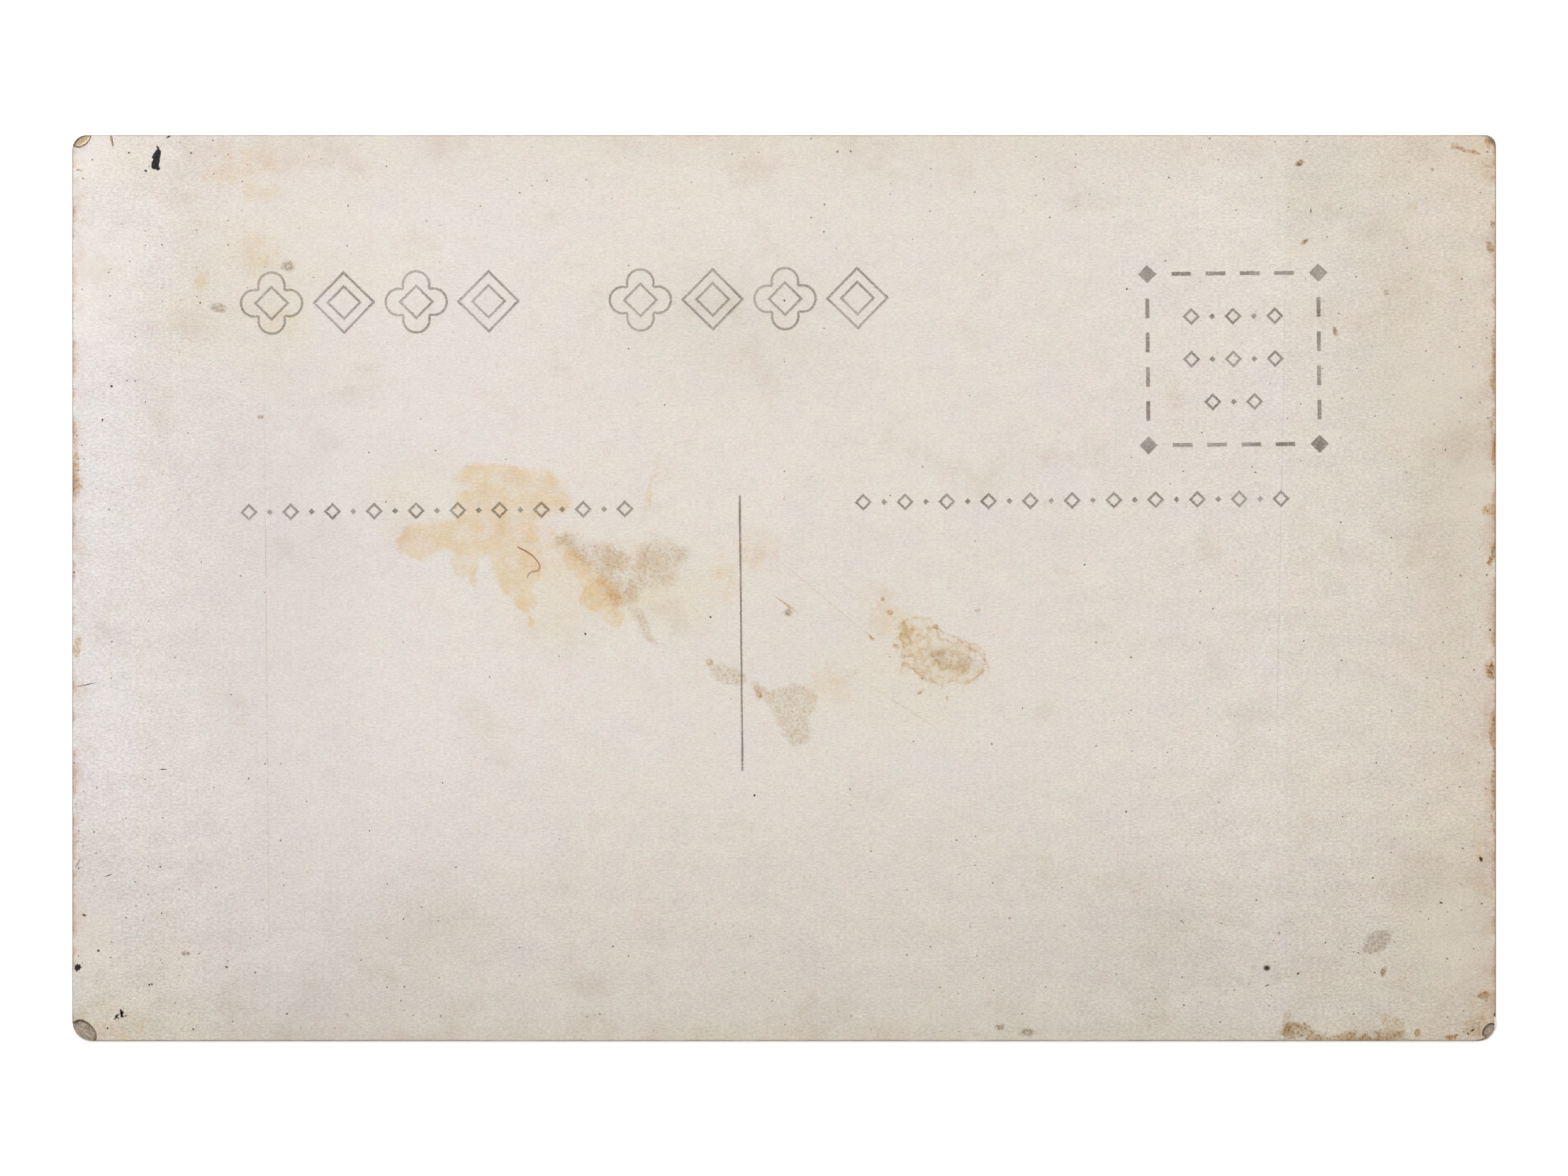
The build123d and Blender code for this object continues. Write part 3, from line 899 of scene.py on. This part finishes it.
def ink_film(node_name):
    """The printed figures of a CAD node as a film on the paper. Its rim is marked, so that it can fade."""
    film = bpy.data.objects.new(node_name + "_film", nodes[node_name].data.copy())
    bpy.context.scene.collection.objects.link(film)
    film.data.materials.clear()
    edit(film, "VERT", lambda vertex: True)
    bpy.ops.mesh.remove_doubles(threshold=WELD)
    leave_edit()
    edit(film, "EDGE", longer_than(film, INK_LONG_LINE))
    bpy.ops.mesh.subdivide(number_cuts=INK_CUTS)
    leave_edit()
    edit(film, "FACE", lambda face: face.normal.z > 0.9)
    bpy.ops.transform.translate(value=(0, 0, INK_LIFT * MM))
    bpy.ops.mesh.inset(thickness=INK_RIM * MM)
    mesh = bmesh.from_edit_mesh(film.data)
    inked = mesh.verts.layers.float.new("inked")
    for face in mesh.faces:
        if face.select:
            for vertex in face.verts:
                vertex[inked] = 1.0
    bmesh.update_edit_mesh(film.data)
    leave_edit()
    group_points(film, "upper_face", on_top)
    displace(film, clouds("formation", RELIEF_SIZE), RELIEF, 0.5, "Z", "upper_face")
    apply_modifiers(film)
    return film


def page_scrap(name, outline):
    """A torn scrap of page paper: a ragged outline with a thin, frayed rim."""
    bpy.ops.object.select_all(action="DESELECT")
    bpy.ops.mesh.primitive_circle_add(vertices=len(outline), radius=MM, fill_type="NGON")
    scrap = bpy.context.object
    scrap.name = name
    for vertex, (x, y) in zip(scrap.data.vertices, outline):
        vertex.co = (x * MM, y * MM, sheet_top)
    edit(scrap, "FACE", lambda face: True)
    bpy.ops.mesh.subdivide(number_cuts=2, fractal=0.35, seed=len(outline))
    bpy.ops.mesh.select_all(action="SELECT")
    bpy.ops.transform.resize(value=(1, 1, 0), center_override=(0, 0, sheet_top))
    rise = (0, 0, 0.4 * SCRAP_THICKNESS * MM)
    bpy.ops.mesh.extrude_region_move(TRANSFORM_OT_translate={"value": rise})
    bpy.ops.mesh.inset(thickness=SCRAP_FRAY * MM)
    bpy.ops.transform.translate(value=(0, 0, 0.6 * SCRAP_THICKNESS * MM))
    bpy.ops.mesh.select_all(action="SELECT")
    bpy.ops.mesh.normals_make_consistent(inside=False)
    leave_edit()
    return scrap


def paper_curl(name, x, y, foot, length, width, bow, turn):
    """A flake of split paper that has rolled up: a bowed and arched shell with crumpled, tapering ends."""
    bpy.ops.object.select_all(action="DESELECT")
    bpy.ops.mesh.primitive_cylinder_add(
        vertices=CURL_SIDES,
        radius=0.5,
        depth=1,
        end_fill_type="NOTHING",
        rotation=(0, math.radians(90), 0),
    )
    curl = bpy.context.object
    curl.name = name
    bpy.ops.object.transform_apply()

    def is_lengthwise(edge):
        start, end = (curl.data.vertices[index].co for index in edge.vertices)
        return abs(start.x - end.x) > 0.5

    edit(curl, "EDGE", is_lengthwise)
    bpy.ops.mesh.subdivide(number_cuts=CURL_CUTS)
    leave_edit()
    edit(curl, "FACE", lambda face: face.center.z < -0.1)
    bpy.ops.mesh.delete(type="FACE")
    leave_edit()
    for vertex in curl.data.vertices:
        taper = math.sqrt(max(1.0 - (2 * vertex.co.x) ** 2, 0.12))
        aside = width * taper * vertex.co.y - bow * taper**2
        vertex.co = Vector((length * vertex.co.x, aside, CURL_ARCH * width * taper * vertex.co.z)) * MM
    bpy.ops.transform.rotate(value=-math.radians(turn), orient_axis="Z", center_override=(0, 0, 0))
    bpy.ops.transform.translate(value=(x * MM, y * MM, sheet_top + (foot + 0.06 * width) * MM))
    bpy.ops.object.transform_apply()
    displace(curl, clouds("crumpled flake", CURL_CRUMPLE), CURL_CRUMPLE * width, 0.5, "NORMAL")
    thicken = curl.modifiers.new("thickness", "SOLIDIFY")
    thicken.thickness = CURL_THICKNESS * MM
    apply_modifiers(curl)
    return curl


def stuck_hair():
    """A hair stuck to the large stain: one thin strand that tapers and hooks back at its end."""
    curve = bpy.data.curves.new("stuck_hair", "CURVE")
    curve.dimensions = "3D"
    curve.bevel_depth = HAIR_THICKNESS / 2 * MM
    curve.bevel_resolution = 2
    curve.resolution_u = 8
    curve.use_fill_caps = True
    spline = curve.splines.new("NURBS")
    spline.points.add(len(HAIR_POINTS) - 1)
    for index, (point, (x, y)) in enumerate(zip(spline.points, HAIR_POINTS)):
        along = index / (len(HAIR_POINTS) - 1)
        arch = HAIR_ARCH * math.sin(math.pi * along)
        point.co = (x * MM, y * MM, sheet_top + (HAIR_THICKNESS / 2 + arch) * MM, 1)
        point.radius = 1 - 0.6 * along
    spline.order_u = 3
    spline.use_endpoint_u = True
    hair = bpy.data.objects.new("stuck_hair", curve)
    bpy.context.scene.collection.objects.link(hair)
    select_only(hair)
    bpy.ops.object.convert(target="MESH")
    hair = bpy.context.object
    edit(hair, "VERT", lambda vertex: True)
    bpy.ops.mesh.remove_doubles(threshold=WELD)
    leave_edit()
    return hair


# Assembly

studio()

# Smooth photographic base paper: cream, with a little dirt in its edge
base_paper = two_tone_material("cream base paper", 0.8, 0.3, 1.5, 4, 0.45, 0.75, ("#e4dccd", "#bfae97"))
# Baryta, barium sulphate in gelatin: a white mineral coat, faintly clouded, smooth and half matt
mineral_coat = two_tone_material("baryta coat", 0.55, 0.4, 3, 2, 0.0, 1.0, ("#f1ece2", "#e6dfd0"))
for node_name, material in (
    ("core_ply", core_material()),
    ("front_ply", base_paper),
    ("baryta_coat", mineral_coat),
    ("emulsion", emulsion_material()),
):
    nodes[node_name].data.materials.clear()
    nodes[node_name].data.materials.append(material)

paper_group = back_paper_group()
sheet = back_sheet()
sheet.data.materials.clear()
sheet.data.materials.append(back_paper_material(paper_group))
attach(sheet, "root")
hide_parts("back_ply")

thin_ink = ink_material(paper_group, "rubbed letterpress ink", 0.8)
full_ink = ink_material(paper_group, "faded letterpress ink", 0.95)
for node_name, ink in (
    ("heading_ink", thin_ink),
    ("divider_ink", full_ink),
    ("message_label_ink", full_ink),
    ("address_label_ink", full_ink),
    ("stamp_frame_ink", full_ink),
    ("stamp_rows_ink", full_ink),
):
    film = ink_film(node_name)
    film.data.materials.append(ink)
    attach(film, "root")
    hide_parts(node_name)

# Black sugar paper from an album page: matt, dyed fibre that looks grey where it is torn
album_tones = ("#1d1b1b", "#454243")
album_paper = two_tone_material("black album paper", 0.95, 0.15, 0.16, 3, 0.35, 0.75, album_tones)
for name, outline in PAGE_SCRAPS.items():
    scrap = page_scrap(name, outline)
    scrap.data.materials.append(album_paper)
    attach(scrap, "root")

finishes = {
    "paper": (sheet.data.materials[0], "back_paper"),
    "tan": (split_paper_material("split tan paper", "#efe2c9", "#b59d7c"), "back_paper"),
    "grimy": (split_paper_material("split grimy paper", "#d6cabf", "#8c7a6c"), "core_paper"),
    "white": (split_paper_material("split white paper", "#f6f0e8", "#d8cbbd"), "front_paper"),
}
for name, (finish, *curl_size) in CURLS.items():
    curl = paper_curl(name, *curl_size)
    material, slot = finishes[finish]
    curl.data.materials.append(material)
    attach(curl, "root")

hair = stuck_hair()
hair.data.materials.append(hair_material())
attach(hair, "root")
